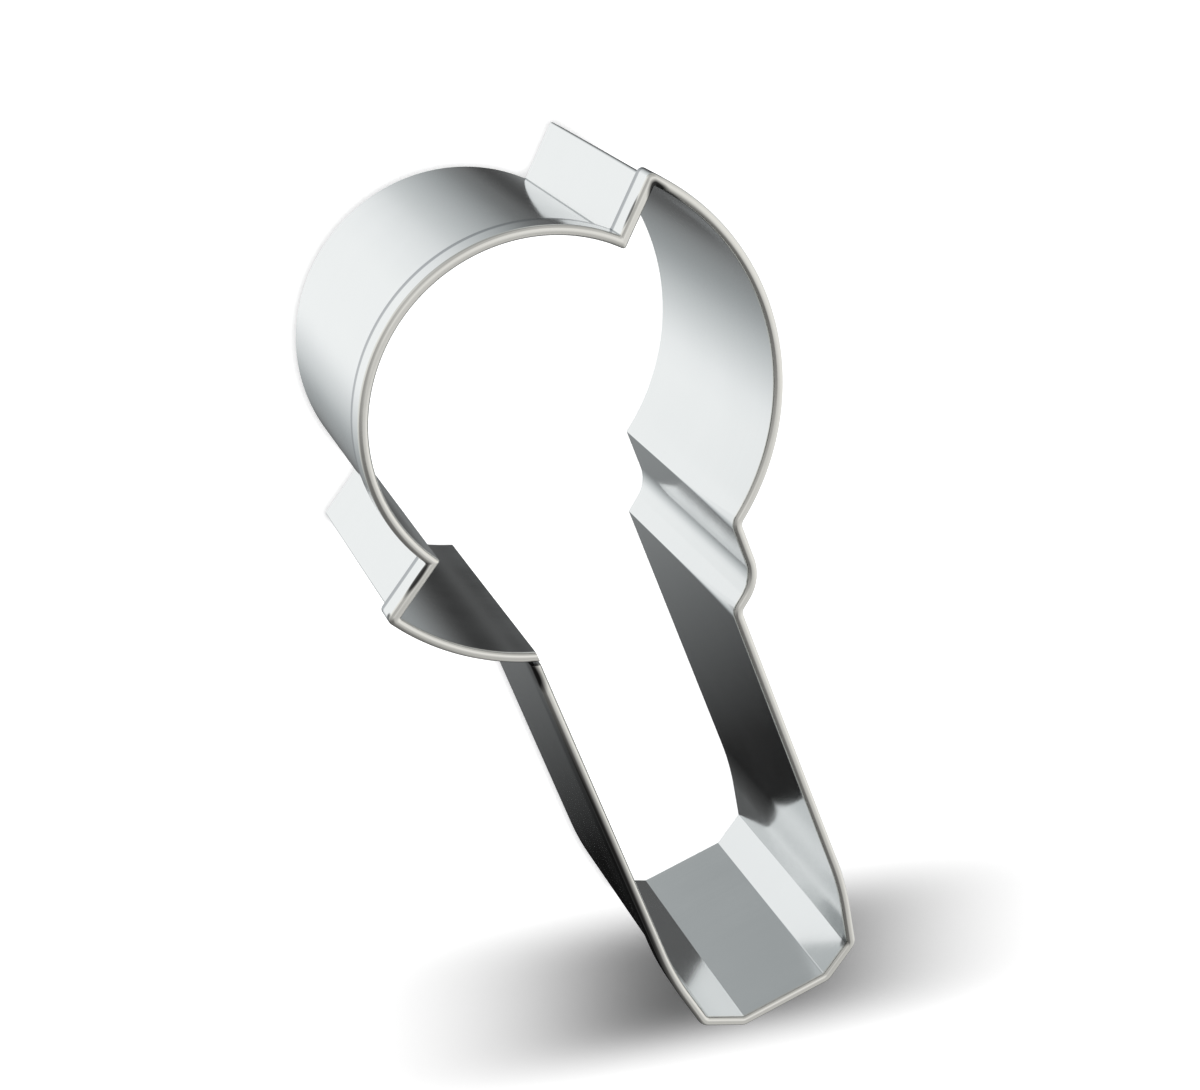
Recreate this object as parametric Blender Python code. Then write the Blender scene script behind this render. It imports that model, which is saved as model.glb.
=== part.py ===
# Hand-held cookie cutter in the shape of a round-headed microphone.
# One long strip of polished stainless sheet is folded over along one edge for a safe rim, bent on
# edge into a closed outline and spot-welded to itself. The other edge is the plain cutting edge.
# The model stands on its cutting edge, rim up, with +Y running along the handle towards the head.

import math

import bmesh
import bpy
from mathutils import Vector

mm = 0.001

# The strip
strip_height = 25.0 * mm        # from the cutting edge to the top of the rim
sheet = 0.35 * mm               # thickness of the sheet
hem_depth = 2.6 * mm            # how far the folded edge reaches down the outside
fold_gap = 0.10 * mm            # air left inside the closed fold
convex_radius = 0.40 * mm       # inner radius of the bends that turn towards the inside
reflex_radius = 0.50 * mm       # inner-face radius of the bends that turn towards the outside
pinch_radius = 0.12 * mm        # least radius on the crowded side of those bends

# The handle, measured on the strip's inner face from the middle of the flat at its end
handle_half = 7.68 * mm         # half the handle's width
flat_half = 3.83 * mm           # half the width of the flat
chamfer_x = 6.66 * mm           # where the chamfer turns into the steeper bevel
chamfer_y = 1.74 * mm
bevel_y = 7.15 * mm             # where the bevel turns into the straight handle
bevel_radius = 25.0 * mm        # inner radius of that turn, which is a soft one

# The collar, which swells on one side only between the handle and the head
collar_start_y = 34.98 * mm     # where the handle ends and the collar's slope begins
collar_slope = math.radians(53.0)       # angle between the slope and the handle
collar_x = 10.10 * mm           # the collar's outermost run
collar_radius = 3.0 * mm

# The head: a large arc at the right, a smaller dome at the upper left and a bowl below it
head_x = -0.32 * mm
head_y = 57.07 * mm
head_radius = 18.40 * mm
dome_x = 0.04 * mm
dome_y = 56.66 * mm
dome_radius = 13.36 * mm
bowl_x = 0.09 * mm
bowl_y = 56.21 * mm
bowl_radius = 18.41 * mm
upper_step_head = math.radians(40.64)   # where the upper step leaves the large arc
upper_step_dome = math.radians(42.09)   # where it meets the dome
lower_step_dome = math.radians(210.45)  # where the lower step leaves the dome
lower_step_bowl = math.radians(209.55)  # where it meets the bowl

# The lap joint, on the outer side of the bowl next to the handle
lap_gap = 0.10 * mm             # air between the two layers
tongue_length = 6.5 * mm        # how far the strip's bare end reaches along the bowl
tongue_drop = 1.4 * mm          # from the hem's raw edge down to the top of the tongue
end_gap = 0.12 * mm             # between the two cut ends of the rim
weld_count = 3
weld_radius = 1.25 * mm
weld_clearance = 0.015 * mm     # from a weld's faces to the layers that it joins
weld_margin = 4.0 * mm          # from the tongue's long edges to the outer welds

# Fineness of the mesh
arc_step = math.radians(3.6)
bend_segments = 4
fold_segments = 6
weld_columns = 10

rim_width = 2 * sheet + fold_gap
lap_shift = sheet + lap_gap
tongue_top = strip_height - hem_depth - tongue_drop


def on_circle(centre, radius, angle):
    return centre + radius * Vector((math.cos(angle), math.sin(angle)))


def bearing(centre, point):
    return math.atan2(point.y - centre.y, point.x - centre.x)


class Straight:
    # A straight run of the outline. Outwards is to the right of the direction of travel.
    def __init__(self, start, end):
        self.start = start
        self.along = (end - start).normalized()
        self.out = Vector((self.along.y, -self.along.x))

    def nearest(self, point, offset):
        base = self.start + self.out * offset
        return base + self.along * (point - base).dot(self.along)


class Round:
    # A round run, travelled counter-clockwise, so that outwards adds to the radius.
    def __init__(self, centre, radius):
        self.centre = centre
        self.radius = radius

    def nearest(self, point, offset):
        return self.centre + (point - self.centre).normalized() * (self.radius + offset)


def crossing(first, first_offset, second, second_offset, near):
    # Where two runs, each moved outwards by its own offset, cross nearest to a point.
    if isinstance(first, Round):
        return crossing(second, second_offset, first, first_offset, near)
    base = first.start + first.out * first_offset
    if isinstance(second, Straight):
        other = second.start + second.out * second_offset
        return base + first.along * ((other - base).dot(second.out) / first.along.dot(second.out))
    back = (base - second.centre).dot(first.along)
    rest = (base - second.centre).length_squared - (second.radius + second_offset) ** 2
    reach = math.sqrt(back * back - rest)
    ends = [base + first.along * (reach - back), base - first.along * (reach + back)]
    return min(ends, key=lambda end: (end - near).length)


class Bend:
    # The bend between two runs. A convex bend turns towards the inside of the outline. In a reflex
    # bend the outer layers are crowded, so the bend moves out with them to keep a least radius.
    def __init__(self, corner, convex, radius, segments=bend_segments):
        self.corner = corner
        self.convex = convex
        self.radius = radius
        self.segments = segments

    def points(self, first, second, offset, shift=0.0):
        # The shift moves the first run further out, for the layer that laps over the strip.
        depth = -self.radius if self.convex else max(self.radius, offset + pinch_radius)
        centre = crossing(first, depth + shift, second, depth, self.corner)
        start = first.nearest(centre, offset + shift)
        end = second.nearest(centre, offset)
        angle = bearing(centre, start)
        turn = (bearing(centre, end) - angle + math.pi) % (2 * math.pi) - math.pi
        steps = [angle + turn * index / self.segments for index in range(self.segments + 1)]
        return [on_circle(centre, (start - centre).length, step) for step in steps]


def outline():
    # The runs in their order, counter-clockwise from the left of the handle, each with the bend
    # that follows it.
    head = Vector((head_x, head_y))
    dome = Vector((dome_x, dome_y))
    bowl = Vector((bowl_x, bowl_y))
    bevel_left = Vector((-handle_half, bevel_y))
    chamfer_left = Vector((-chamfer_x, chamfer_y))
    flat_left = Vector((-flat_half, 0.0))
    flat_right = Vector((flat_half, 0.0))
    chamfer_right = Vector((chamfer_x, chamfer_y))
    bevel_right = Vector((handle_half, bevel_y))
    collar_start = Vector((handle_half, collar_start_y))
    slope = Vector((math.sin(collar_slope), math.cos(collar_slope)))
    collar_low = collar_start + slope * ((collar_x - handle_half) / slope.x)
    upper_out = on_circle(head, head_radius, upper_step_head)
    upper_in = on_circle(dome, dome_radius, upper_step_dome)
    lower_in = on_circle(dome, dome_radius, lower_step_dome)
    lower_out = on_circle(bowl, bowl_radius, lower_step_bowl)
    neck_left = Vector((-handle_half, collar_start_y))

    left_run = Straight(neck_left, bevel_left)
    collar_run = Straight(collar_low, collar_low + Vector((0.0, mm)))
    head_arc = Round(head, head_radius)
    bowl_arc = Round(bowl, bowl_radius)
    collar_high = crossing(collar_run, 0.0, head_arc, 0.0, collar_low)
    neck = crossing(left_run, 0.0, bowl_arc, 0.0, neck_left)
    return [
        (left_run, Bend(bevel_left, True, bevel_radius)),
        (Straight(bevel_left, chamfer_left), Bend(chamfer_left, True, convex_radius)),
        (Straight(chamfer_left, flat_left), Bend(flat_left, True, convex_radius)),
        (Straight(flat_left, flat_right), Bend(flat_right, True, convex_radius)),
        (Straight(flat_right, chamfer_right), Bend(chamfer_right, True, convex_radius)),
        (Straight(chamfer_right, bevel_right), Bend(bevel_right, True, bevel_radius)),
        (Straight(bevel_right, collar_start), Bend(collar_start, False, reflex_radius)),
        (Straight(collar_start, collar_low), Bend(collar_low, True, collar_radius, 3 * bend_segments)),
        (collar_run, Bend(collar_high, False, reflex_radius)),
        (head_arc, Bend(upper_out, True, convex_radius)),
        (Straight(upper_out, upper_in), Bend(upper_in, False, reflex_radius)),
        (Round(dome, dome_radius), Bend(lower_in, False, reflex_radius)),
        (Straight(lower_in, lower_out), Bend(lower_out, True, convex_radius)),
        (bowl_arc, Bend(neck, False, reflex_radius)),
    ]


def even_angles(arc, starts, ends):
    # Evenly stepped angles on an arc, after all the start points and before all the end points.
    base = bearing(arc.centre, starts[0])
    full = 2 * math.pi
    first = max((bearing(arc.centre, point) - base + math.pi) % full - math.pi for point in starts)
    last = min((bearing(arc.centre, point) - base) % full for point in ends)
    count = max(2, round((last - first) / arc_step))
    return [base + first + (last - first) * index / count for index in range(1, count)]


def rim_line(runs, offset):
    # The strip's full-height line at an offset from its inner face, from the cut at the top of the
    # left handle, once round, to the cut on the bowl that lies in line with the handle's inner face.
    left_run = runs[0][0]
    bowl_arc, neck = runs[-1]
    crowded = max(rim_width, lap_shift + sheet + pinch_radius)
    line = [crossing(left_run, offset, bowl_arc, crowded + end_gap, neck.corner)]
    for (run, bend), (follower, next_bend), (last, _) in zip(runs, runs[1:], runs[2:] + runs[:1]):
        line += bend.points(run, follower, offset)
        if isinstance(follower, Round):
            both = (0.0, rim_width)
            starts = [bend.points(run, follower, side)[-1] for side in both]
            if follower is bowl_arc:
                ends = [crossing(left_run, 0.0, bowl_arc, side, neck.corner) for side in both]
            else:
                ends = [next_bend.points(follower, last, side)[0] for side in both]
            angles = even_angles(follower, starts, ends)
            line += [on_circle(follower.centre, follower.radius + offset, angle) for angle in angles]
    line.append(crossing(left_run, 0.0, bowl_arc, offset, neck.corner))
    return line


def tongue_angles(runs):
    # From the tongue's free end on the bowl to the start of its bend down into the handle.
    left_run = runs[0][0]
    bowl_arc, neck = runs[-1]
    root = bearing(bowl_arc.centre, neck.points(bowl_arc, left_run, 0.0, lap_shift)[0])
    span = tongue_length / (bowl_radius + lap_shift)
    count = max(2, round(span / arc_step))
    return [root - span + span * index / count for index in range(count)]


def tongue_line(runs, offset):
    # The bare end of the strip, which lies against the outside of the bowl's own layer.
    left_run = runs[0][0]
    bowl_arc, neck = runs[-1]
    radius = bowl_radius + lap_shift + offset
    line = [on_circle(bowl_arc.centre, radius, angle) for angle in tongue_angles(runs)]
    return line + neck.points(bowl_arc, left_run, offset, lap_shift)


def strip_profile():
    # Pairs of (offset, height) on the two faces of the sheet, from the cutting edge, up the wall,
    # over the fold and down to the hem's raw edge. The first two pairs also bound the tongue.
    middle = rim_width / 2
    fold_base = strip_height - middle
    pairs = [((0.0, height), (sheet, height)) for height in (0.0, tongue_top)]
    for index in range(fold_segments + 1):
        turn = math.pi * index / fold_segments
        faces = []
        for radius in (middle, fold_gap / 2):
            faces.append((middle - radius * math.cos(turn), fold_base + radius * math.sin(turn)))
        pairs.append(tuple(faces))
    raw_edge = strip_height - hem_depth
    pairs.append(((rim_width, raw_edge), (rim_width - sheet, raw_edge)))
    return pairs


def make_rings(mesh, profile, line_at):
    # One ring of point pairs for each station along the strip.
    lines = {offset: line_at(offset) for pair in profile for offset, _ in pair}
    rings = []
    for station in range(len(lines[0.0])):
        ring = []
        for pair in profile:
            points = [lines[offset][station].to_3d() + Vector((0, 0, height)) for offset, height in pair]
            ring.append([mesh.verts.new(point) for point in points])
        rings.append(ring)
    return rings


def bridge(mesh, ring, follower):
    # The sheet's faces and its two long edges between neighbouring rings.
    rows = min(len(ring), len(follower))
    for row in range(rows - 1):
        for face in (0, 1):
            mesh.faces.new((ring[row][face], ring[row + 1][face],
                            follower[row + 1][face], follower[row][face]))
    for row in (0, rows - 1):
        mesh.faces.new((ring[row][0], ring[row][1], follower[row][1], follower[row][0]))


def close_end(mesh, ring):
    # The cut across the sheet's thickness at one ring.
    for low, high in zip(ring, ring[1:]):
        mesh.faces.new((low[0], low[1], high[1], high[0]))


def band_mesh(runs):
    mesh = bmesh.new()
    profile = strip_profile()
    tongue = make_rings(mesh, profile[:2], lambda offset: tongue_line(runs, offset))
    rim = make_rings(mesh, profile, lambda offset: rim_line(runs, offset))
    rings = tongue + rim
    for ring, follower in zip(rings, rings[1:]):
        bridge(mesh, ring, follower)
    close_end(mesh, tongue[0])
    close_end(mesh, rim[0][1:])
    close_end(mesh, rim[-1])
    return mesh


def weld_mesh(runs, height):
    # A round nugget between the layers of the lap, curved with the bowl. It is made of columns, so
    # that its faces bend only about the upright axis, as the layers do.
    bowl = runs[-1][0]
    angles = tongue_angles(runs)
    middle = (angles[0] + angles[-1]) / 2
    near = bowl.radius + sheet + weld_clearance
    far = bowl.radius + lap_shift - weld_clearance
    mesh = bmesh.new()
    columns = []
    for index in range(weld_columns + 1):
        turn = math.pi * index / weld_columns
        angle = middle - weld_radius * math.cos(turn) / far
        rise = weld_radius * math.sin(turn)
        ends = (0.0,) if index in (0, weld_columns) else (-rise, rise)
        column = []
        for radius in (near, far):
            foot = on_circle(bowl.centre, radius, angle).to_3d()
            column.append([mesh.verts.new(foot + Vector((0, 0, height + end))) for end in ends])
        columns.append(column)
    for column, follower in zip(columns, columns[1:]):
        for side in (0, 1):
            mesh.faces.new(column[side] + follower[side][::-1])
        for edge in (0, -1):
            mesh.faces.new((column[0][edge], column[1][edge], follower[1][edge], follower[0][edge]))
    return mesh


def make_material(name, colour, roughness):
    material = bpy.data.materials.new(name)
    material.use_nodes = True
    shader = material.node_tree.nodes["Principled BSDF"]
    shader.inputs["Base Color"].default_value = colour
    shader.inputs["Roughness"].default_value = roughness
    shader.inputs["Metallic"].default_value = 1.0
    return material


def make_object(name, mesh, material, parent):
    bmesh.ops.recalc_face_normals(mesh, faces=mesh.faces)
    data = bpy.data.meshes.new(name)
    mesh.to_mesh(data)
    mesh.free()
    data.materials.append(material)
    data.shade_smooth()
    data.set_sharp_from_angle(angle=math.radians(30.0))
    item = bpy.data.objects.new(name, data)
    bpy.context.scene.collection.objects.link(item)
    item.parent = parent
    return item


def make_cutter():
    runs = outline()
    # The origin comes under the middle of the outline's extent.
    edge = rim_line(runs, rim_width)
    middle_x = (min(point.x for point in edge) + max(point.x for point in edge)) / 2
    middle_y = (min(point.y for point in edge) + max(point.y for point in edge)) / 2
    cutter = bpy.data.objects.new("cutter", None)
    cutter.location = (-middle_x, -middle_y, 0.0)
    bpy.context.scene.collection.objects.link(cutter)
    print("outline origin in the model, mm:", [round(value / mm, 3) for value in cutter.location])

    polished = make_material("polished_steel", (0.80, 0.81, 0.81, 1.0), 0.10)
    make_object("cutter_band", band_mesh(runs), polished, cutter)
    welded = make_material("weld_steel", (0.52, 0.50, 0.48, 1.0), 0.45)
    pitch = (tongue_top - 2 * weld_margin) / (weld_count - 1)
    for index in range(weld_count):
        height = weld_margin + pitch * index
        make_object(f"spot_weld_{index + 1}", weld_mesh(runs, height), welded, cutter)
    bpy.context.view_layer.update()


for leftover in list(bpy.data.objects):
    bpy.data.objects.remove(leftover, do_unlink=True)
make_cutter()
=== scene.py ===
import math

import bmesh
import bpy
from mathutils import Matrix, Vector


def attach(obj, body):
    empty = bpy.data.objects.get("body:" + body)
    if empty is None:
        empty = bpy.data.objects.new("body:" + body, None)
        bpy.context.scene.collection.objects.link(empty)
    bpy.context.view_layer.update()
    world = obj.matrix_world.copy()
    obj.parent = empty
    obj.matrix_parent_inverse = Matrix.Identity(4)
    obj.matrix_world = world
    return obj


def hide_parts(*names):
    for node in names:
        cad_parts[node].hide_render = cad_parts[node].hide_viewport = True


mm = 0.001

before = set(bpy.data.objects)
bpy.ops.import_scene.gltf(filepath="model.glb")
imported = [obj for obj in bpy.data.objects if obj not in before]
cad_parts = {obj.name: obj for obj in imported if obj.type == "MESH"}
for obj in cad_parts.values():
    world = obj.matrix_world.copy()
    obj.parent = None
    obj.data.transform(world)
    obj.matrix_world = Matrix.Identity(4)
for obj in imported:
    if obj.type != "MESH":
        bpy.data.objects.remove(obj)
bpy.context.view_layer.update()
print("frame loaded")


def addObject(name, data):
    item = bpy.data.objects.new(name, data)
    bpy.context.scene.collection.objects.link(item)
    return item


# Camera, fitted to the bend lines and both edges of the strip in the photograph
cameraFit = {
    "position": (-27.072 * mm, 85.363 * mm, 180.052 * mm),
    "right": (0.88593, -0.34182, 0.31350),
    "down": (-0.43930, -0.83524, 0.33074),
    "lens": 69.27,
    "sensor": 36.0,
    "clip": (0.01, 50.0),
}


def addCamera():
    data = bpy.data.cameras.new("camera")
    data.lens = cameraFit["lens"]
    data.sensor_width = cameraFit["sensor"]
    data.clip_start, data.clip_end = cameraFit["clip"]
    right = Vector(cameraFit["right"]).normalized()
    up = -Vector(cameraFit["down"])
    up = (up - right * up.dot(right)).normalized()
    back = right.cross(up)
    turn = Matrix((right, up, back)).transposed().to_4x4()
    camera = addObject("camera", data)
    camera.matrix_world = Matrix.Translation(cameraFit["position"]) @ turn
    bpy.context.scene.camera = camera


addCamera()
print("camera placed")


# Small helpers for meshes and node trees

def meshData(name, mesh):
    data = bpy.data.meshes.new(name)
    mesh.to_mesh(data)
    mesh.free()
    return data


def startNodes(tree):
    tree.nodes.clear()

    def add(kind, **settings):
        node = tree.nodes.new(kind)
        for name, value in settings.items():
            setattr(node, name, value)
        return node

    def join(source, target):
        tree.links.new(source, target)

    return add, join


def startMaterial(name):
    material = bpy.data.materials.new(name)
    material.use_nodes = True
    add, join = startNodes(material.node_tree)
    return material, add, join


def finishNodes(add, join, shader, output="ShaderNodeOutputMaterial"):
    join(shader.outputs[0], add(output).inputs["Surface"])


def mathNode(add, join, operation, first, second=None):
    # Each value is a number or another node's socket.
    node = add("ShaderNodeMath", operation=operation)
    for socket, value in zip(node.inputs, (first, second)):
        if isinstance(value, (int, float)):
            socket.default_value = value
        elif value is not None:
            join(value, socket)
    return node.outputs[0]


def mapRange(add, join, source, low, high, start=0.0, end=1.0):
    node = add("ShaderNodeMapRange")
    limits = (("From Min", low), ("From Max", high), ("To Min", start), ("To Max", end))
    for name, value in limits:
        node.inputs[name].default_value = value
    join(source, node.inputs["Value"])
    return node.outputs[0]


def rampNode(add, join, source, stops):
    # Stops are (position, (red, green, blue)).
    node = add("ShaderNodeValToRGB")
    ramp = node.color_ramp
    while len(ramp.elements) < len(stops):
        ramp.elements.new(0.5)
    for element, (position, colour) in zip(ramp.elements, stops):
        element.position = position
        element.color = (*colour, 1.0)
    join(source, node.inputs["Fac"])
    return node.outputs["Color"]


def mixColour(add, join, factor, first, second):
    # Each of the two is a colour or another node's socket.
    node = add("ShaderNodeMix", data_type="RGBA")
    join(factor, node.inputs[0])
    for socket, value in ((node.inputs[6], first), (node.inputs[7], second)):
        if isinstance(value, tuple):
            socket.default_value = (*value, 1.0)
        else:
            join(value, socket)
    return node.outputs[2]


def mixNumber(add, join, factor, first, number):
    node = add("ShaderNodeMix", data_type="FLOAT")
    join(factor, node.inputs[0])
    join(first, node.inputs[2])
    node.inputs[3].default_value = number
    return node.outputs[0]


# The set: white floor, light from above, and the graded grey cloth all round that the polished
# steel mirrors
studio = {
    "floorColour": (0.86, 0.86, 0.86),
    "floorLift": 0.50,              # added for the camera alone, so that the lit floor is white
    "floorSize": 3.0,
    "sunLevel": 0.94,               # share of the floor's light from straight above
    "sunSoftness": math.radians(4.0),
    "sunHeight": 0.6,
    "roomLevel": 0.06,              # share from all round
    "clothRadius": 3.0,
    "clothSegments": (96, 48),
    "coolTint": 0.06,               # how far the cloth's mid greys lose red
    "coolMiddle": 0.35,             # the grey that has the whole tint
    "coolFade": 1.1,                # how it fades in lighter greys
    "coolBlue": 0.25,               # the share of it that is added to blue
}

# Soft slanted shadow in front of the handle's end, cast by a small graded card and also painted into
# the floor's camera-only lift
shade = {
    "centre": (-1.7 * mm, -48.3 * mm),
    "slant": math.radians(-21.0),
    "halfLength": 17.3 * mm,
    "halfWidth": 6.63 * mm,
    "powers": (2.5, 4.5),           # how steeply its border falls off along and across
    # how much of the floor's lift is painted away in the shadow's shape
    "floorPaintedShadow": 1.0,
    "cardStrength": 0.94,
    "cardSpread": 0.156,            # the card's border is wider than the shadow's
    "cardHeight": 35.0 * mm,
    "cardSize": (170.0 * mm, 80.0 * mm),
}

# Brightness of the cloth by direction round the table, in degrees from +X towards +Y
clothNear = [   # 14 to 17 degrees from straight down
    (0, 0.07), (5, 0.10), (10, 0.15), (20, 0.24), (30, 0.31), (40, 0.40), (50, 0.50), (60, 0.59),
    (70, 0.70), (80, 0.84), (90, 0.93), (100, 0.98), (115, 1.0), (185, 1.0), (195, 0.93),
    (205, 0.80), (215, 0.70), (225, 0.55), (235, 0.42), (245, 0.37), (255, 0.30), (270, 0.16),
    (290, 0.14), (310, 0.14), (332, 0.18), (340, 0.12), (347, 0.08), (360, 0.07),
]
clothMiddle = [  # 26 degrees
    (0, 0.042), (6, 0.036), (10, 0.042), (13, 0.065), (16.5, 0.105), (20, 0.062), (23, 0.05),
    (28, 0.06), (40, 0.25), (60, 0.50), (80, 0.70), (95, 0.78), (110, 0.90),
    (122, 1.0), (172, 1.0), (185, 0.95), (195, 0.83), (205, 0.69), (215, 0.56), (225, 0.43),
    (235, 0.34), (245, 0.28), (255, 0.22), (265, 0.14), (275, 0.08), (300, 0.08), (315, 0.20),
    (325, 0.34), (335, 0.29), (345, 0.19), (355, 0.08), (360, 0.05),
]
clothFar = [    # 34 to 42 degrees
    (0, 0.08), (15, 0.11), (25, 0.12), (37, 0.62), (50, 0.64), (62, 0.45), (75, 0.38), (90, 0.45),
    (102, 0.55), (112, 0.70), (124, 0.72), (131, 0.97), (140, 0.97), (146, 0.86), (172, 0.85),
    (185, 0.80), (195, 0.66), (205, 0.56), (215, 0.42), (225, 0.27), (234, 0.08), (245, 0.035),
    (258, 0.005), (290, 0.0), (300, 0.30), (312, 0.60), (333, 0.50), (343, 0.32), (350, 0.17),
    (360, 0.08),
]
clothSide = [   # 10 to 24 degrees below the horizon
    (0, 0.82), (20, 0.50), (40, 0.38), (65, 0.32), (90, 0.42), (115, 0.72), (143, 0.82),
    (170, 0.78), (188, 0.40), (203, 0.14), (232, 0.12), (250, 0.08), (287, 0.07), (298, 0.45),
    (312, 0.75), (325, 0.88), (360, 0.82),
]
clothUpper = [  # 5 to 45 degrees above it
    (0, 0.84), (20, 0.65), (40, 0.50), (90, 0.50), (120, 0.54), (143, 0.44), (173, 0.33),
    (190, 0.20), (208, 0.16), (232, 0.16), (248, 0.30), (264, 0.58), (285, 0.54), (303, 0.69),
    (320, 0.87), (345, 0.89), (360, 0.84),
]
clothHigh = [   # 60 to 65 degrees above it
    (0, 0.85), (40, 0.80), (90, 0.72), (115, 0.64), (143, 0.52), (165, 0.46), (190, 0.38),
    (205, 0.23), (215, 0.15), (230, 0.17), (250, 0.27), (262, 0.44), (272, 0.50), (288, 0.57),
    (300, 0.69), (312, 0.79), (330, 0.86), (360, 0.85),
]
clothTop = [(0, 0.82), (360, 0.82)]     # straight up
# Each ring takes over from the one below it between two angles, in degrees from straight down. The
# last value says how much of the cool tint it has.
clothRings = [
    (4, 14, clothNear, 1.0), (17, 25.5, clothMiddle, 1.0), (26.5, 33.5, clothFar, 1.0),
    (42, 66, clothSide, 0.3), (80, 95, clothUpper, 0.0), (135, 150, clothHigh, 0.0),
    (155, 175, clothTop, 0.0),
]
clothBelow = 0.42       # straight down


def coolGrey(grey, amount):
    # Mid greys lose a little red, black and white stay nearly neutral.
    middle = studio["coolMiddle"]
    fade = 1.0 - studio["coolFade"] * max(0.0, grey - middle)
    share = amount * studio["coolTint"] * min(1.0, grey / middle) * fade
    return (grey * (1.0 - share), grey, min(1.0, grey * (1.0 + studio["coolBlue"] * share)))


def shadeNode(add, join, strength, spread):
    # The shadow's profile over the floor: strong in the middle, gone past its half sizes.
    place = add("ShaderNodeTexCoord")
    turned = add("ShaderNodeMapping", vector_type="TEXTURE")
    turned.inputs["Location"].default_value = (*shade["centre"], 0.0)
    turned.inputs["Rotation"].default_value = (0.0, 0.0, shade["slant"])
    turned.inputs["Scale"].default_value = (shade["halfLength"], shade["halfWidth"], 1.0)
    join(place.outputs["Object"], turned.inputs["Vector"])
    split = add("ShaderNodeSeparateXYZ")
    join(turned.outputs[0], split.inputs[0])
    parts = [mathNode(add, join, "POWER", mathNode(add, join, "ABSOLUTE", side), power)
             for side, power in zip(split.outputs[:2], shade["powers"])]
    fall = mathNode(add, join, "MULTIPLY", mathNode(add, join, "ADD", *parts), -spread)
    return mathNode(add, join, "MULTIPLY", mathNode(add, join, "EXPONENT", fall), strength)


def onlySeenBy(item, **seen):
    for kind in ("camera", "diffuse", "glossy", "transmission", "volume_scatter", "shadow"):
        setattr(item, "visible_" + kind, seen.get(kind, False))


def addSheet(name, centre, size, height, material):
    mesh = bmesh.new()
    corners = [(centre[0] + x * size[0] / 2, centre[1] + y * size[1] / 2, height)
               for x, y in ((-1, -1), (1, -1), (1, 1), (-1, 1))]
    mesh.faces.new([mesh.verts.new(corner) for corner in corners])
    data = meshData(name, mesh)
    data.materials.append(material)
    return addObject(name, data)


def addFloor():
    material, add, join = startMaterial("whitePaperPaintedShadow")
    paper = add("ShaderNodeBsdfDiffuse")
    paper.inputs["Color"].default_value = (*studio["floorColour"], 1.0)
    lift = add("ShaderNodeEmission")
    lift.inputs["Color"].default_value = (1.0, 1.0, 1.0, 1.0)
    path = add("ShaderNodeLightPath")
    # The camera-only lift is painted darker in the shadow's shape: a painted shadow on the floor.
    left = mathNode(add, join, "SUBTRACT", 1.0, shadeNode(add, join, shade["floorPaintedShadow"], 1.0))
    level = mathNode(add, join, "MULTIPLY", left, studio["floorLift"])
    seen = mathNode(add, join, "MULTIPLY", path.outputs["Is Camera Ray"], level)
    join(seen, lift.inputs["Strength"])
    both = add("ShaderNodeAddShader")
    join(paper.outputs[0], both.inputs[0])
    join(lift.outputs[0], both.inputs[1])
    finishNodes(add, join, both)
    floor = addSheet("floor", (0.0, 0.0), (studio["floorSize"],) * 2, 0.0, material)
    onlySeenBy(floor, camera=True, diffuse=True, shadow=True, transmission=True)


def addShadeCard():
    # A grey filter above the floor that only the light from above passes through.
    material, add, join = startMaterial("shadeCard")
    dark = shadeNode(add, join, shade["cardStrength"], shade["cardSpread"])
    film = add("ShaderNodeBsdfTransparent")
    join(mathNode(add, join, "SUBTRACT", 1.0, dark), film.inputs["Color"])
    finishNodes(add, join, film)
    card = addSheet("shadeCard", shade["centre"], shade["cardSize"], shade["cardHeight"], material)
    onlySeenBy(card, shadow=True)


def clothMaterial():
    material, add, join = startMaterial("gradedCloth")
    place = add("ShaderNodeTexCoord")
    unit = add("ShaderNodeVectorMath", operation="NORMALIZE")
    join(place.outputs["Object"], unit.inputs[0])
    split = add("ShaderNodeSeparateXYZ")
    join(unit.outputs[0], split.inputs[0])
    x, y, z = split.outputs
    turn = mathNode(add, join, "ARCTAN2", y, x)
    share = mathNode(add, join, "FRACT", mathNode(add, join, "DIVIDE", turn, 2 * math.pi))
    tilt = mathNode(add, join, "ARCCOSINE", mathNode(add, join, "MULTIPLY", z, -1.0))
    look = coolGrey(clothBelow, 1.0)
    for low, high, greys, tint in clothRings:
        stops = [(angle / 360, coolGrey(grey, tint)) for angle, grey in greys]
        ring = rampNode(add, join, share, stops)
        reached = mapRange(add, join, tilt, math.radians(low), math.radians(high))
        look = mixColour(add, join, reached, look, ring)
    gauze = add("ShaderNodeBsdfTransparent")
    join(look, gauze.inputs["Color"])
    finishNodes(add, join, gauze)
    return material


def addCloth():
    mesh = bmesh.new()
    around, down = studio["clothSegments"]
    bmesh.ops.create_uvsphere(mesh, u_segments=around, v_segments=down,
                              radius=studio["clothRadius"])
    data = meshData("gradedCloth", mesh)
    data.shade_smooth()
    data.materials.append(clothMaterial())
    cloth = addObject("gradedCloth", data)
    onlySeenBy(cloth, glossy=True)


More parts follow.
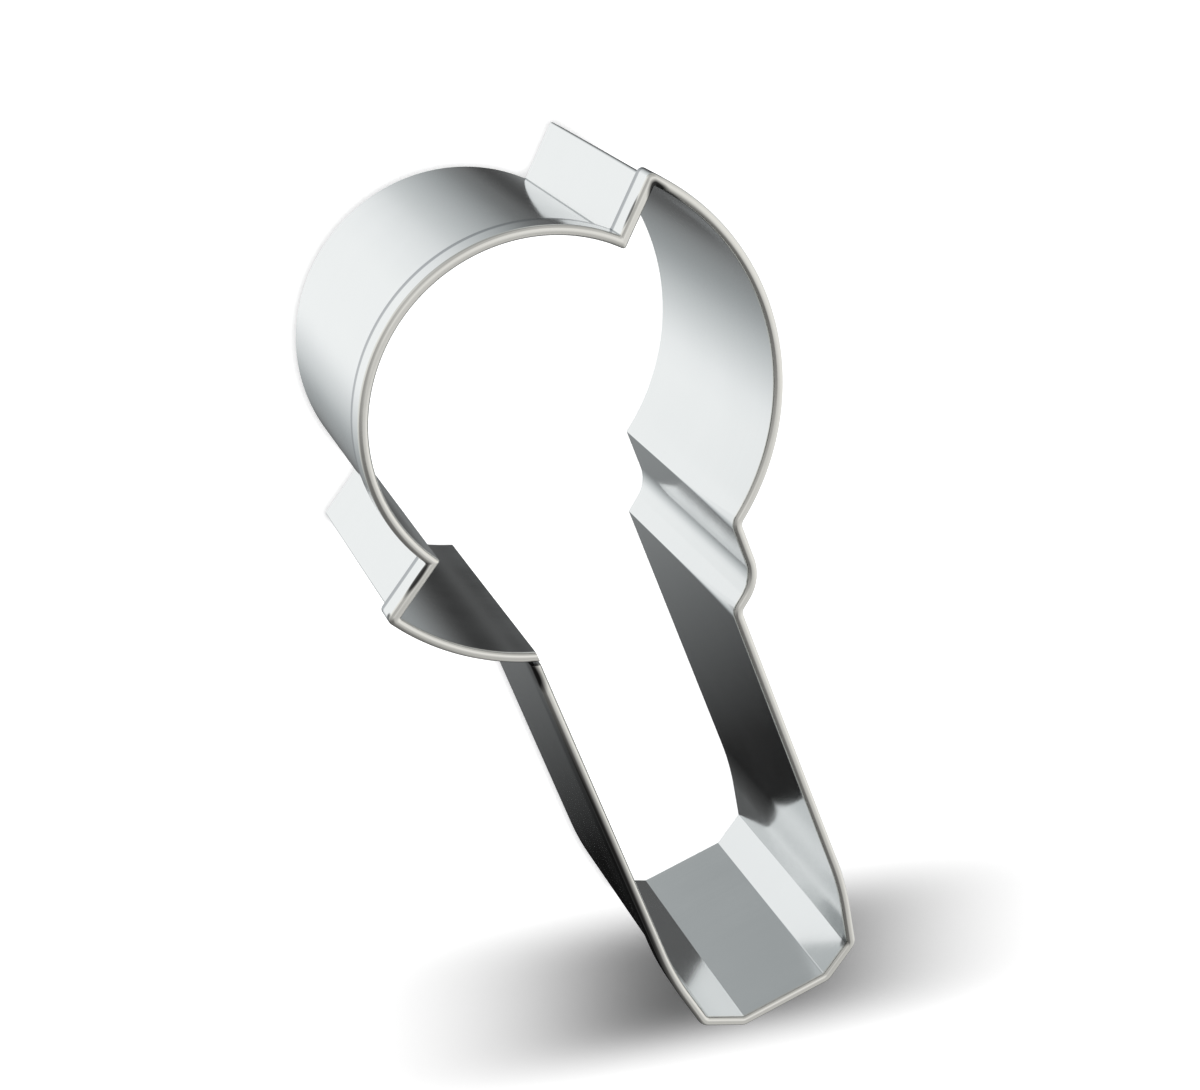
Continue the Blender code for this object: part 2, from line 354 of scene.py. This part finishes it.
def addLight():
    sun = bpy.data.lights.new("softLightAbove", "SUN")
    sun.energy = math.pi * studio["sunLevel"]
    sun.angle = studio["sunSoftness"]
    lamp = addObject("softLightAbove", sun)
    lamp.location = (0.0, 0.0, studio["sunHeight"])
    lamp.visible_glossy = False

    world = bpy.data.worlds.new("whiteRoom")
    bpy.context.scene.world = world
    world.use_nodes = True
    add, join = startNodes(world.node_tree)
    path = add("ShaderNodeLightPath")
    seen = path.outputs["Is Camera Ray"]
    for kind in ("Is Glossy Ray", "Is Transmission Ray"):
        seen = mathNode(add, join, "MAXIMUM", seen, path.outputs[kind])
    room = add("ShaderNodeBackground")
    room.inputs["Color"].default_value = (1.0, 1.0, 1.0, 1.0)
    level = mapRange(add, join, seen, 0.0, 1.0, studio["roomLevel"], 1.0)
    join(level, room.inputs["Strength"])
    finishNodes(add, join, room, "ShaderNodeOutputWorld")
    world.cycles.sampling_method = "NONE"


addFloor()
addShadeCard()
addCloth()
addLight()
bpy.context.scene.view_settings.view_transform = "Standard"
print("set built")


# The strip's outline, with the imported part's lines in the same order. Some of its bends are tighter
# than the part's, and its fold is pressed flatter.
strip = {
    "outlineStart": (-1.154 * mm, -35.008 * mm),    # middle of the handle's end
    "height": 25.0 * mm,
    "sheet": 0.35 * mm,
    "hemDepth": 2.6 * mm,
    "foldGap": 0.10 * mm,
    "convexRadius": 0.40 * mm,      # bends at the handle's end
    "reflexRadius": 0.50 * mm,      # the neck's corner
    "tipRadius": 0.22 * mm,         # the two tips that point inwards
    "stepRadius": 0.15 * mm,        # the steps' outer bends
    "stepPress": 0.55,              # how close the hem's layers are pressed there
    "collarEndRadius": 1.50 * mm,   # the two soft bends beside the collar
    "cutRadius": 0.03 * mm,         # all small bends get this sharp at the cutting edge
    "pinchRadius": 0.12 * mm,       # least radius of a crowded outer layer
    "edgeRound": 0.02 * mm,         # worn corners of the cutting edge
    "hemRound": 0.06 * mm,          # and of the hem's raw edge
    "roundShare": 0.3,              # where the middle of a worn corner lies
    "handleHalf": 7.68 * mm,
    "flatHalf": 3.83 * mm,
    "chamfer": (6.66 * mm, 1.74 * mm),
    "bevelY": 7.15 * mm,
    "bevelRadius": 25.0 * mm,
    "collarStartY": 34.98 * mm,
    "collarSlope": math.radians(53.0),
    "collarX": 10.10 * mm,
    "collarRadius": 3.0 * mm,
    "head": (-0.32 * mm, 57.07 * mm, 18.40 * mm),
    "dome": (0.04 * mm, 56.66 * mm, 13.36 * mm),
    "bowl": (0.09 * mm, 56.21 * mm, 18.41 * mm),
    "upperStep": (math.radians(40.64), math.radians(42.09)),
    "lowerStep": (math.radians(210.45), math.radians(209.55)),
    "lapGap": 0.10 * mm,
    "tongueLength": 6.5 * mm,
    "tongueDrop": 1.4 * mm,         # from the hem's raw edge down to the tongue's top
    "endGap": 0.12 * mm,            # between the rim's end on the bowl and its end on the handle
    "cutGap": 0.2 * mm,             # between the tongue and the rim, along the flat strip
    "arcStep": math.radians(1.5),
    "tongueStep": math.radians(1.0),
    "bendSegments": 10,
    "wideSegments": 30,             # in the bevels and the collar
    "foldSegments": 24,
    "foldPower": 2.5,               # 2 is a round fold, more is pressed flatter
    "holdBack": 0.15 * mm,          # extra stations beside each bend keep the flats flat
    "rowHeight": 0.6 * mm,
    "rowUnderHem": 0.4 * mm,        # extra rows below the hem's raw edge,
    "rowOnEdge": 0.3 * mm,          # just above it,
    "rowInHem": 1.1 * mm,           # in the middle of the hem
    "rowAtFold": 0.15 * mm,         # and just below the fold
    "sharpAngle": math.radians(38.0),
}
rimWidth = 2 * strip["sheet"] + strip["foldGap"]
lapShift = strip["sheet"] + strip["lapGap"]
tongueTop = strip["height"] - strip["hemDepth"] - strip["tongueDrop"]
bowlMiddle = Vector(strip["bowl"][:2])
bowlRadius = strip["bowl"][2]


def onCircle(centre, radius, angle):
    return centre + radius * Vector((math.cos(angle), math.sin(angle)))


def bearing(centre, point):
    return math.atan2(point.y - centre.y, point.x - centre.x)


class Straight:
    def __init__(self, start, end):
        self.start = start
        self.along = (end - start).normalized()
        self.out = Vector((self.along.y, -self.along.x))

    def nearest(self, point, offset):
        base = self.start + self.out * offset
        return base + self.along * (point - base).dot(self.along)


class Round:
    def __init__(self, centre, radius):
        self.centre = centre
        self.radius = radius

    def nearest(self, point, offset):
        return self.centre + (point - self.centre).normalized() * (self.radius + offset)


def crossing(first, firstOffset, second, secondOffset, near):
    if isinstance(first, Round):
        return crossing(second, secondOffset, first, firstOffset, near)
    base = first.start + first.out * firstOffset
    if isinstance(second, Straight):
        other = second.start + second.out * secondOffset
        return base + first.along * ((other - base).dot(second.out) / first.along.dot(second.out))
    back = (base - second.centre).dot(first.along)
    rest = (base - second.centre).length_squared - (second.radius + secondOffset) ** 2
    reach = math.sqrt(back * back - rest)
    ends = [base + first.along * (reach - back), base - first.along * (reach + back)]
    return min(ends, key=lambda end: (end - near).length)


class Bend:
    def __init__(self, corner, convex, radius,
                 segments=strip["bendSegments"], even=False, press=0.0):
        self.corner = corner
        self.convex = convex
        self.radius = radius
        self.segments = segments
        self.even = even
        self.press = press

    def points(self, first, second, offset, shift=0.0, height=strip["height"]):
        # The stiff rim makes a bend softer than it is at the cutting edge.
        radius = self.radius
        if not self.even:
            rise = (height / strip["height"]) ** 3
            radius = strip["cutRadius"] + (self.radius - strip["cutRadius"]) * rise
        if self.convex:
            depth = self.press * offset - radius
        else:
            # The outer layers of a bend that turns outwards are crowded, so it moves out with them.
            depth = max(radius, offset + strip["pinchRadius"])
        centre = crossing(first, depth + shift, second, depth, self.corner)
        start = first.nearest(centre, offset + shift)
        end = second.nearest(centre, offset)
        angle = bearing(centre, start)
        turn = (bearing(centre, end) - angle + math.pi) % (2 * math.pi) - math.pi
        steps = [angle + turn * index / self.segments for index in range(self.segments + 1)]
        return [onCircle(centre, (start - centre).length, step) for step in steps]


def stripRuns():
    half = strip["handleHalf"]
    head, dome, bowl = (Round(Vector(values[:2]), values[2])
                        for values in (strip["head"], strip["dome"], strip["bowl"]))
    chamferX, chamferY = strip["chamfer"]
    bevelLeft, bevelRight = (Vector((side * half, strip["bevelY"])) for side in (-1, 1))
    chamferLeft, chamferRight = (Vector((side * chamferX, chamferY)) for side in (-1, 1))
    flatLeft, flatRight = (Vector((side * strip["flatHalf"], 0.0)) for side in (-1, 1))
    collarStart = Vector((half, strip["collarStartY"]))
    slope = Vector((math.sin(strip["collarSlope"]), math.cos(strip["collarSlope"])))
    collarLow = collarStart + slope * ((strip["collarX"] - half) / slope.x)
    upperOut = onCircle(head.centre, head.radius, strip["upperStep"][0])
    upperIn = onCircle(dome.centre, dome.radius, strip["upperStep"][1])
    lowerIn = onCircle(dome.centre, dome.radius, strip["lowerStep"][0])
    lowerOut = onCircle(bowl.centre, bowl.radius, strip["lowerStep"][1])
    neckLeft = Vector((-half, strip["collarStartY"]))
    leftRun = Straight(neckLeft, bevelLeft)
    collarRun = Straight(collarLow, collarLow + Vector((0.0, mm)))
    collarHigh = crossing(collarRun, 0.0, head, 0.0, collarLow)
    neck = crossing(leftRun, 0.0, bowl, 0.0, neckLeft)

    def softBend(corner, radius):
        return Bend(corner, True, radius, strip["wideSegments"], True)

    def stepBend(corner):
        return Bend(corner, True, strip["stepRadius"], press=strip["stepPress"])

    def sharpBend(corner):
        return Bend(corner, True, strip["convexRadius"])

    def inwardBend(corner, radius):
        return Bend(corner, False, radius)

    return [
        (leftRun, softBend(bevelLeft, strip["bevelRadius"])),
        (Straight(bevelLeft, chamferLeft), sharpBend(chamferLeft)),
        (Straight(chamferLeft, flatLeft), sharpBend(flatLeft)),
        (Straight(flatLeft, flatRight), sharpBend(flatRight)),
        (Straight(flatRight, chamferRight), sharpBend(chamferRight)),
        (Straight(chamferRight, bevelRight), softBend(bevelRight, strip["bevelRadius"])),
        (Straight(bevelRight, collarStart), inwardBend(collarStart, strip["collarEndRadius"])),
        (Straight(collarStart, collarLow), softBend(collarLow, strip["collarRadius"])),
        (collarRun, inwardBend(collarHigh, strip["collarEndRadius"])),
        (head, stepBend(upperOut)),
        (Straight(upperOut, upperIn), inwardBend(upperIn, strip["tipRadius"])),
        (dome, inwardBend(lowerIn, strip["tipRadius"])),
        (Straight(lowerIn, lowerOut), stepBend(lowerOut)),
        (bowl, inwardBend(neck, strip["reflexRadius"])),
    ]


def evenAngles(arc, starts, ends):
    base = bearing(arc.centre, starts[0])
    full = 2 * math.pi
    first = max((bearing(arc.centre, point) - base + math.pi) % full - math.pi for point in starts)
    last = min((bearing(arc.centre, point) - base) % full for point in ends)
    count = max(2, round((last - first) / strip["arcStep"]))
    return [base + first + (last - first) * index / count for index in range(1, count)]


def lengthsAlong(line, start=0.0):
    lengths = [start]
    for here, there in zip(line, line[1:]):
        lengths.append(lengths[-1] + (there - here).length)
    return lengths


def rimLine(runs, offset, height=strip["height"]):
    # The line at an offset from the inner face and at a height, from the cut at the top of the left
    # handle, once round, to the cut on the bowl.
    leftRun = runs[0][0]
    bowlArc, neck = runs[-1]
    crowded = max(rimWidth, lapShift + strip["sheet"] + strip["pinchRadius"])
    line = [crossing(leftRun, offset, bowlArc, crowded + strip["endGap"], neck.corner)]
    for (run, bend), (follower, nextBend), (last, _) in zip(runs, runs[1:], runs[2:] + runs[:1]):
        corner = bend.points(run, follower, offset, 0.0, height)
        if isinstance(run, Straight):
            length = (corner[0] - line[-1]).length
            hold = min(strip["holdBack"], length / 3)
            toEnd = (corner[0] - line[-1]).normalized() * hold
            line += [line[-1] + toEnd, corner[0] - toEnd]
        line += corner
        if isinstance(follower, Round):
            both = (0.0, rimWidth)
            starts = [bend.points(run, follower, side)[-1] for side in both]
            if follower is bowlArc:
                ends = [crossing(leftRun, 0.0, bowlArc, side, neck.corner) for side in both]
            else:
                ends = [nextBend.points(follower, last, side)[0] for side in both]
            radius = follower.radius + offset
            line += [onCircle(follower.centre, radius, angle)
                     for angle in evenAngles(follower, starts, ends)]
    line.append(crossing(leftRun, 0.0, bowlArc, offset, neck.corner))
    return line


def tongueAngles(runs):
    leftRun = runs[0][0]
    bowlArc, neck = runs[-1]
    root = bearing(bowlArc.centre, neck.points(bowlArc, leftRun, 0.0, lapShift)[0])
    span = strip["tongueLength"] / (bowlRadius + lapShift)
    count = max(2, round(span / strip["tongueStep"]))
    return [root - span + span * index / count for index in range(count)]


def tongueLine(runs, offset, height):
    leftRun = runs[0][0]
    bowlArc, neck = runs[-1]
    radius = bowlRadius + lapShift + offset
    line = [onCircle(bowlArc.centre, radius, angle) for angle in tongueAngles(runs)]
    return line + neck.points(bowlArc, leftRun, offset, lapShift, height)


def stripProfile():
    # Pairs of (offset, height) on the sheet's two faces, from the cutting edge up the wall, over
    # the fold and down to the hem's raw edge. Returns the pairs and how many belong to the tongue.
    sheet, worn, hemWorn = strip["sheet"], strip["edgeRound"], strip["hemRound"]
    part, hemPart = strip["roundShare"] * worn, strip["roundShare"] * hemWorn
    middle = rimWidth / 2
    foldBase = strip["height"] - middle
    rawEdge = strip["height"] - strip["hemDepth"]
    inHem, atFold = rawEdge + strip["rowInHem"], foldBase - strip["rowAtFold"]
    pairs = [((worn, 0.0), (sheet - worn, 0.0)), ((part, part), (sheet - part, part))]
    rows = max(1, round((tongueTop - worn) / strip["rowHeight"]))
    heights = [worn + (tongueTop - worn) * index / rows for index in range(rows + 1)]
    tongueRows = len(pairs) + len(heights)
    heights += [rawEdge - strip["rowUnderHem"], rawEdge, inHem, atFold]
    pairs += [((0.0, height), (sheet, height)) for height in heights]
    for index in range(strip["foldSegments"] + 1):
        turn = math.pi * index / strip["foldSegments"]
        pairs.append(tuple((middle - radius * math.cos(turn), foldBase + radius * math.sin(turn))
                           for radius in (middle, strip["foldGap"] / 2)))
    for height in (atFold, inHem, rawEdge + strip["rowOnEdge"], rawEdge + hemWorn):
        pairs.append(((rimWidth, height), (rimWidth - sheet, height)))
    for aside, height in ((hemPart, rawEdge + hemPart), (hemWorn, rawEdge)):
        pairs.append(((rimWidth - aside, height), (rimWidth - sheet + aside, height)))
    return pairs, tongueRows


def pressFold(offset, height):
    # Flattens the round fold's top, and leaves everything below it.
    middle = rimWidth / 2
    side, rise = middle - offset, height - (strip["height"] - middle)
    if rise <= 0.0:
        return offset, height
    power = strip["foldPower"]
    wider = math.hypot(side, rise) / (abs(side) ** power + rise ** power) ** (1.0 / power)
    return middle - side * wider, strip["height"] - middle + rise * wider


def makeRings(mesh, profile, lineAt, start):
    # One ring of vertex pairs for each station. Each vertex remembers its place on the flat strip.
    placeLayer = mesh.verts.layers.float_vector["stripPlace"]
    pressed = {place: pressFold(*place) for pair in profile for place in pair}
    lines = {place: lineAt(*pressed[place]) for place in pressed}
    lengths = lengthsAlong(lineAt(0.0, strip["height"]), start)
    across = [0.0]
    for (here, _), (there, _) in zip(profile, profile[1:]):
        across.append(across[-1] + math.dist(here, there))
    rings = []
    for station, length in enumerate(lengths):
        ring = []
        for row, pair in enumerate(profile):
            verts = []
            for face, place in enumerate(pair):
                vert = mesh.verts.new((*lines[place][station], pressed[place][1]))
                vert[placeLayer] = Vector((length / mm, across[row] / mm, float(face)))
                verts.append(vert)
            ring.append(verts)
        rings.append(ring)
    return rings, lengths[-1]


def bridge(mesh, ring, follower):
    rows = min(len(ring), len(follower))
    for row in range(rows - 1):
        for face in (0, 1):
            mesh.faces.new((ring[row][face], ring[row + 1][face],
                            follower[row + 1][face], follower[row][face]))
    for row in (0, rows - 1):
        mesh.faces.new((ring[row][0], ring[row][1], follower[row][1], follower[row][0]))


def closeEnd(mesh, ring):
    for low, high in zip(ring, ring[1:]):
        mesh.faces.new((low[0], low[1], high[1], high[0]))


# Marks that the spot welder leaves on the outside of the lap
weldMarks = {
    "count": 3,
    "margin": 4.0 * mm,
    "radius": 1.25 * mm,
    "flatShare": 0.6,               # share of the radius with a flat bottom
    "depth": 0.07 * mm,
    "tintReach": 2.3 * mm,
}


def weldHeights():
    pitch = (tongueTop - 2 * weldMarks["margin"]) / (weldMarks["count"] - 1)
    return [weldMarks["margin"] + pitch * index for index in range(weldMarks["count"])]


def pressWeldMarks(mesh, runs, rings):
    # Shallow round dents in the tongue's outer face, and a float for the heat tint round them.
    tint = mesh.verts.layers.float["weldTint"]
    angles = tongueAngles(runs)
    middle = (angles[0] + angles[-1]) / 2
    outer = bowlRadius + lapShift + strip["sheet"]
    for ring in rings:
        for pair in ring:
            vert = pair[1]
            flat = vert.co.to_2d()
            angle = bearing(bowlMiddle, flat) % (2 * math.pi)
            side = (angle - middle % (2 * math.pi)) * outer
            away = min(math.hypot(side, vert.co.z - height) for height in weldHeights())
            vert[tint] = max(0.0, 1.0 - away / weldMarks["tintReach"])
            share = away / weldMarks["radius"]
            if share < 1.0:
                # The dent's bottom is flat, and its border rounded.
                border = max(0.0, share - weldMarks["flatShare"]) / (1.0 - weldMarks["flatShare"])
                inwards = (bowlMiddle - flat).normalized() * weldMarks["depth"] * (1.0 - border ** 2)
                vert.co += inwards.to_3d()


def tongueReach():
    # The tongue's length along its inner face.
    return lengthsAlong(tongueLine(stripRuns(), 0.0, strip["height"]))[-1]


def bandMesh():
    runs = stripRuns()
    mesh = bmesh.new()
    mesh.verts.layers.float_vector.new("stripPlace")
    mesh.verts.layers.float.new("weldTint")
    profile, tongueRows = stripProfile()
    tongueProfile = profile[:tongueRows]
    tongue, reached = makeRings(mesh, tongueProfile, lambda *place: tongueLine(runs, *place), 0.0)
    rimStart = reached + strip["cutGap"]
    rim, _ = makeRings(mesh, profile, lambda *place: rimLine(runs, *place), rimStart)
    rings = tongue + rim
    for ring, follower in zip(rings, rings[1:]):
        bridge(mesh, ring, follower)
    closeEnd(mesh, tongue[0])
    closeEnd(mesh, rim[0][tongueRows - 1:])
    closeEnd(mesh, rim[-1])
    pressWeldMarks(mesh, runs, tongue)
    bmesh.ops.translate(mesh, verts=mesh.verts, vec=(*strip["outlineStart"], 0.0))
    bmesh.ops.recalc_face_normals(mesh, faces=mesh.faces)
    return mesh


# Polished sheet: mirror-like along the walls, a little warmer and softer on the fold. A pair says
# where something starts and where it is whole, in mm along the strip's section for the rim and the
# sheared edge with its painted shade, and otherwise as values of the noise or of the heat.
steelLook = {
    "colour": (0.84, 0.85, 0.85),
    "roughness": 0.11,
    "lineColour": (0.83, 0.84, 0.84),       # fine lines from rolling
    "lineStops": (0.35, 0.60),
    "lineRange": (0.30, 0.70),
    "lineRoughness": 0.012,
    "smudgeRange": (0.35, 0.70),
    "smudgeRoughness": 0.04,
    "rimColour": (0.86, 0.85, 0.80),
    "rimRoughness": 0.17,
    "rimStart": (24.55, 24.75),
    "rimEnd": (25.75, 25.90),
    "cutEdgeAndShadeColour": (0.40, 0.415, 0.43),       # the hem's sheared edge: partly its own dull metal, partly painted shade of the gap under the hem
    "cutRoughness": 0.22,
    "cutEdgeAndShadeStart": (27.32, 27.54),
    "strawColour": (0.78, 0.66, 0.46),      # heat tint round the spot welds
    "strawRange": (0.0, 0.35),
    "burntColour": (0.45, 0.38, 0.40),
    "burntRange": (0.35, 0.55),
    "clearRange": (0.60, 0.75),             # bare metal in the middle
    # painted shade in the creases and a painted dark reflection along the left handle, near black
    "paintedShadeColour": (0.02, 0.02, 0.02),
    "paintedShadeRoughness": 0.15,
    "paintedShadeBorder": (0.55, 1.05),          # in half sizes of a spot
    "waveDepth": 0.0012 * mm,
    "rimWaveDepth": 0.006 * mm,
}
# Noise per mm along and across the strip, its detail, and a seed
steelNoise = {
    "lines": (0.05, 9.0, 3.0, 1.7),
    "smudges": (0.16, 0.22, 4.0, 6.3),
    "waves": (0.10, 0.13, 1.0, 9.1),
    "rimWaves": (0.9, 0.5, 1.0, 4.4),
}


# Painted shade in the hem's creases at the tight bends, and a painted dark reflection along the left
# handle. Each spot has the bend that it is beside, by its place in stripRuns, the distance along from
# there, the place on the section, half its length, half its width (all mm), and its strength.
paintedShadeSpots = [
    (9, 0.0, 24.85, 1.25, 0.52, 0.97),      # on the upper step's outer bend
    (9, -1.2, 24.75, 1.4, 0.28, 0.85),      # and inside it, along the arc
    (10, -2.0, 25.80, 1.5, 0.20, 0.85),     # behind the upper step
    (10, 0.0, 24.75, 0.35, 0.20, 0.80),     # on its tip
    (11, 1.3, 25.62, 2.1, 0.28, 0.95),      # behind the lower step's tip
    (12, 0.1, 25.95, 0.40, 0.40, 0.95),     # on the lower step's outer bend
    (-1, 0.9, 26.50, 1.9, 1.20, 0.97),      # at the cut end of the rim, on the handle
    (-1, 0.9, 25.85, 2.0, 0.90, 0.97),
    (13, -0.3, 26.10, 1.2, 0.70, 0.95),     # and on the bowl's rim beside that cut
    (-1, 19.0, 25.92, 21.0, 0.88, 0.93),    # painted dark reflection along the left handle, on the fold's side
    (-1, 19.0, 26.95, 21.0, 1.20, 0.84),    # and on the hem
    (4, 0.0, 24.45, 0.7, 0.55, 0.75),       # between the chamfer and the bevel
]


def paintedShadePlaces():
    # The spots in the strip's own coordinates, mm.
    runs = stripRuns()
    spine = rimLine(runs, 0.0)
    lengths = lengthsAlong(spine, tongueReach() + strip["cutGap"])
    places = []
    for bend, along, across, halfLength, halfWidth, strength in paintedShadeSpots:
        start = 0
        if bend >= 0:
            corner = runs[bend][1].corner
            start = min(range(len(spine)), key=lambda index: (spine[index] - corner).length)
        places.append(((lengths[start] / mm + along, across), (halfLength, halfWidth), strength))
    return places


def steelMaterial():
    look = steelLook
    material, add, join = startMaterial("polishedSteel")
    place = add("ShaderNodeAttribute", attribute_name="stripPlace")
    split = add("ShaderNodeSeparateXYZ")
    join(place.outputs["Vector"], split.inputs[0])
    along, across, _ = split.outputs
    flat = add("ShaderNodeCombineXYZ")
    join(along, flat.inputs[0])
    join(across, flat.inputs[1])
    flatPlace = flat.outputs[0]

    def noiseAt(alongScale, acrossScale, detail, seed):
        both = add("ShaderNodeCombineXYZ")
        join(mathNode(add, join, "MULTIPLY", along, alongScale), both.inputs[0])
        join(mathNode(add, join, "MULTIPLY", across, acrossScale), both.inputs[1])
        both.inputs[2].default_value = seed
        noise = add("ShaderNodeTexNoise")
        noise.inputs["Scale"].default_value = 1.0
        noise.inputs["Detail"].default_value = detail
        join(both.outputs[0], noise.inputs["Vector"])
        return noise.outputs["Fac"]

    def mapped(source, limits, start=0.0, end=1.0):
        return mapRange(add, join, source, *limits, start, end)

    rollLines, smudges, waves, rimWaves = (
        noiseAt(*steelNoise[kind]) for kind in ("lines", "smudges", "waves", "rimWaves"))

    # the fold, and the hem's sheared edge below it, darkened partly as painted shade
    onRim = mathNode(add, join, "MULTIPLY", mapped(across, look["rimStart"]),
                     mapped(across, look["rimEnd"], 1.0, 0.0))
    onCutEdgeAndShade = mapped(across, look["cutEdgeAndShadeStart"])
    heat = add("ShaderNodeAttribute", attribute_name="weldTint").outputs["Fac"]

    stops = list(zip(look["lineStops"], (look["lineColour"], look["colour"])))
    colour = rampNode(add, join, rollLines, stops)
    for factor, tint in ((mapped(heat, look["strawRange"]), look["strawColour"]),
                         (mapped(heat, look["burntRange"]), look["burntColour"]),
                         (mapped(heat, look["clearRange"]), look["colour"]),
                         (onRim, look["rimColour"]), (onCutEdgeAndShade, look["cutEdgeAndShadeColour"])):
        colour = mixColour(add, join, factor, colour, tint)
    fineRough = mapped(rollLines, look["lineRange"], -look["lineRoughness"], look["lineRoughness"])
    rough = mapped(smudges, look["smudgeRange"], look["roughness"],
                   look["roughness"] + look["smudgeRoughness"])
    rough = mathNode(add, join, "ADD", rough, fineRough)
    rough = mixNumber(add, join, onRim, rough, look["rimRoughness"])
    rough = mixNumber(add, join, onCutEdgeAndShade, rough, look["cutRoughness"])

    # Painted shade in the hem's creases and a painted dark reflection along the left handle, mixed in
    # as near-black spots
    paintedShadeMask = None
    for centre, halves, strength in paintedShadePlaces():
        away = add("ShaderNodeVectorMath", operation="SUBTRACT")
        join(flatPlace, away.inputs[0])
        away.inputs[1].default_value = (*centre, 0.0)
        scaled = add("ShaderNodeVectorMath", operation="DIVIDE")
        join(away.outputs[0], scaled.inputs[0])
        scaled.inputs[1].default_value = (*halves, 1.0)
        far = add("ShaderNodeVectorMath", operation="LENGTH")
        join(scaled.outputs[0], far.inputs[0])
        spot = mapped(far.outputs["Value"], look["paintedShadeBorder"], strength, 0.0)
        paintedShadeMask = spot if paintedShadeMask is None else mathNode(add, join, "MAXIMUM", paintedShadeMask, spot)
    colour = mixColour(add, join, paintedShadeMask, colour, look["paintedShadeColour"])
    rough = mixNumber(add, join, paintedShadeMask, rough, look["paintedShadeRoughness"])

    rimBump = add("ShaderNodeBump")
    rimBump.inputs["Distance"].default_value = look["rimWaveDepth"]
    join(mathNode(add, join, "MULTIPLY", onRim, rimWaves), rimBump.inputs["Height"])
    waveBump = add("ShaderNodeBump")
    waveBump.inputs["Distance"].default_value = look["waveDepth"]
    join(waves, waveBump.inputs["Height"])
    join(rimBump.outputs[0], waveBump.inputs["Normal"])

    shader = add("ShaderNodeBsdfPrincipled")
    shader.inputs["Metallic"].default_value = 1.0
    join(colour, shader.inputs["Base Color"])
    join(rough, shader.inputs["Roughness"])
    join(waveBump.outputs[0], shader.inputs["Normal"])
    finishNodes(add, join, shader)
    return material


def evenNormals(data):
    # Weights each corner's normal by area, so that walls stay flat beside the bends' narrow faces.
    least = math.cos(strip["sharpAngle"])
    shapes = [(face.normal.copy(), face.area) for face in data.polygons]
    around = [[] for _ in data.vertices]
    for face in data.polygons:
        for vert in face.vertices:
            around[vert].append(shapes[face.index])
    normals = []
    for face in data.polygons:
        own = shapes[face.index][0]
        for vert in face.vertices:
            total = Vector()
            for normal, area in around[vert]:
                if normal.dot(own) > least:
                    total += normal * area
            normals.append(total.normalized())
    data.normals_split_custom_set(normals)


def addBand():
    data = meshData("steelBand", bandMesh())
    data.shade_smooth()
    data.set_sharp_from_angle(angle=strip["sharpAngle"])
    evenNormals(data)
    data.materials.append(steelMaterial())
    band = addObject("steelBand", data)
    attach(band, "root")
    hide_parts("cutter_band")
    print("band:", len(data.vertices), "vertices,", len(data.polygons), "faces")


addBand()


# Fused metal of the spot welds, hidden between the layers of the lap
weldLook = {
    "colour": (0.52, 0.50, 0.48),
    "burntColour": (0.30, 0.26, 0.24),
    "colourStops": (0.35, 0.65),
    "roughness": (0.35, 0.60),      # smoothest and roughest
    "noiseScale": 2500.0,
    "noiseDetail": 3.0,
    "bumpDepth": 0.02 * mm,
}


def weldMaterial():
    look = weldLook
    material, add, join = startMaterial("weldSteel")
    place = add("ShaderNodeTexCoord")
    noise = add("ShaderNodeTexNoise")
    noise.inputs["Scale"].default_value = look["noiseScale"]
    noise.inputs["Detail"].default_value = look["noiseDetail"]
    join(place.outputs["Object"], noise.inputs["Vector"])
    grain = noise.outputs["Fac"]
    shader = add("ShaderNodeBsdfPrincipled")
    shader.inputs["Metallic"].default_value = 1.0
    stops = list(zip(look["colourStops"], (look["burntColour"], look["colour"])))
    join(rampNode(add, join, grain, stops), shader.inputs["Base Color"])
    rough = mapRange(add, join, grain, 0.0, 1.0, *look["roughness"])
    join(rough, shader.inputs["Roughness"])
    bump = add("ShaderNodeBump")
    bump.inputs["Distance"].default_value = look["bumpDepth"]
    join(grain, bump.inputs["Height"])
    join(bump.outputs[0], shader.inputs["Normal"])
    finishNodes(add, join, shader)
    return material


def dressWelds():
    material = weldMaterial()
    for index in range(weldMarks["count"]):
        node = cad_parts[f"spot_weld_{index + 1}"]
        node.data.materials.clear()
        node.data.materials.append(material)
    print("welds dressed")


dressWelds()
